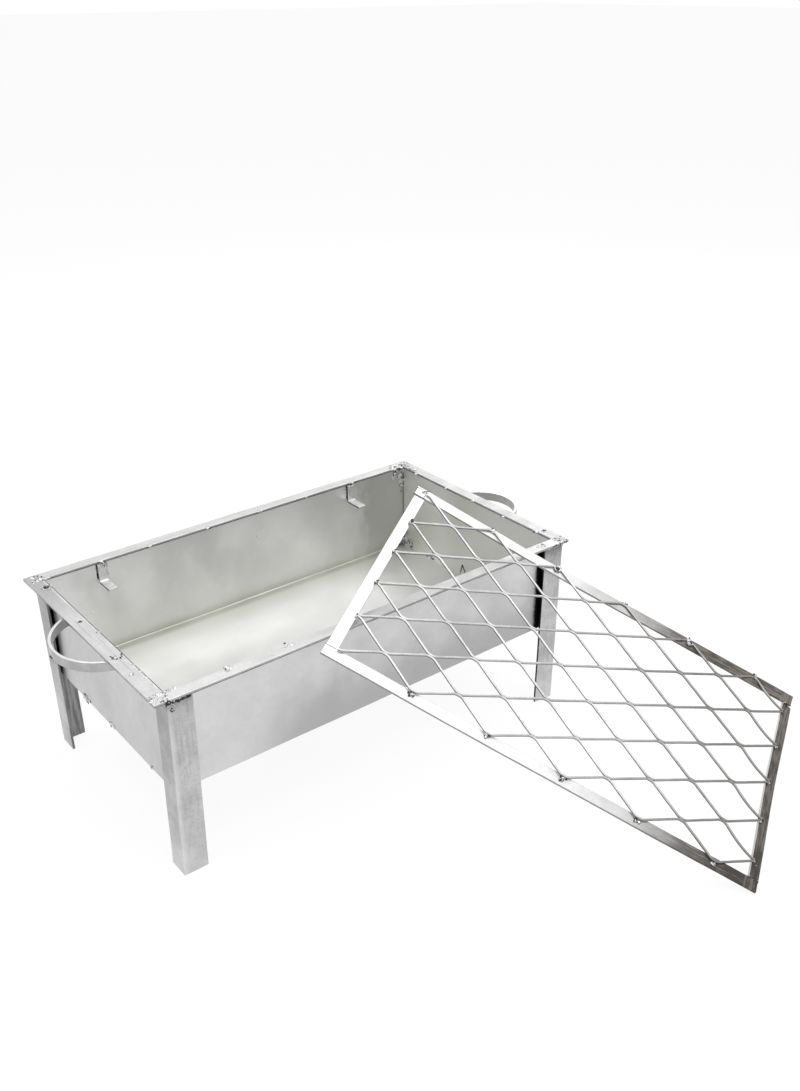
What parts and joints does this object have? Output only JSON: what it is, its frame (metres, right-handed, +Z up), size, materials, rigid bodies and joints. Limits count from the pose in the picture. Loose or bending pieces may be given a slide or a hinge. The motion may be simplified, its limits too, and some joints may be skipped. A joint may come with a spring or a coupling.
{
  "type": "portable charcoal grill",
  "caption": "Low open charcoal grill: folded sheet fire tray in a flat-bar rim on angle-iron legs, with bowed handles and a loose expanded-metal cooking grate leaned on its front rim.",
  "frame": {"origin": "middle of the whole part's footprint, on the ground, with the grate leaned on the rim", "axes": "+X along the fire box from its left end to its right, +Y from front to back, +Z up"},
  "size_m": [0.6828, 0.6656, 0.2843],
  "materials": {
    "tray_sheet": "galvanised sheet, dull, cloudy",
    "rim_bar": "bright galvanised flat bar with weld spatter",
    "leg_angle": "mottled galvanised angle iron",
    "handle_bar": "galvanised flat bar",
    "hanger_strip": "galvanised strip",
    "grate_bar": "galvanised flat bar, browner at the low end",
    "grate_mesh": "galvanised expanded metal"
  },
  "bodies": {
    "fire_box": {"tray_sheet": "tray_sheet", "end_plate_left": "tray_sheet", "end_plate_right": "tray_sheet", "rim_strip_front": "rim_bar", "rim_strip_back": "rim_bar", "rim_strip_left": "rim_bar", "rim_strip_right": "rim_bar", "leg_front_left": "leg_angle", "leg_front_right": "leg_angle", "leg_back_left": "leg_angle", "leg_back_right": "leg_angle", "handle_left": "handle_bar", "handle_right": "handle_bar", "grate_hanger_front_left": "hanger_strip", "grate_hanger_front_right": "hanger_strip", "grate_hanger_back_left": "hanger_strip", "grate_hanger_back_right": "hanger_strip"},
    "grate": {"grate_long_bar_near": "grate_bar", "grate_long_bar_far": "grate_bar", "grate_short_bar_upper": "grate_bar", "grate_short_bar_lower": "grate_bar", "grate_mesh": "grate_mesh"}
  },
  "joints": [
    {"name": "grate_lift", "type": "slide", "parent": "fire_box", "child": "grate", "axis": [0, 0, 1], "range_m": [0, 0.15]}
  ]
}
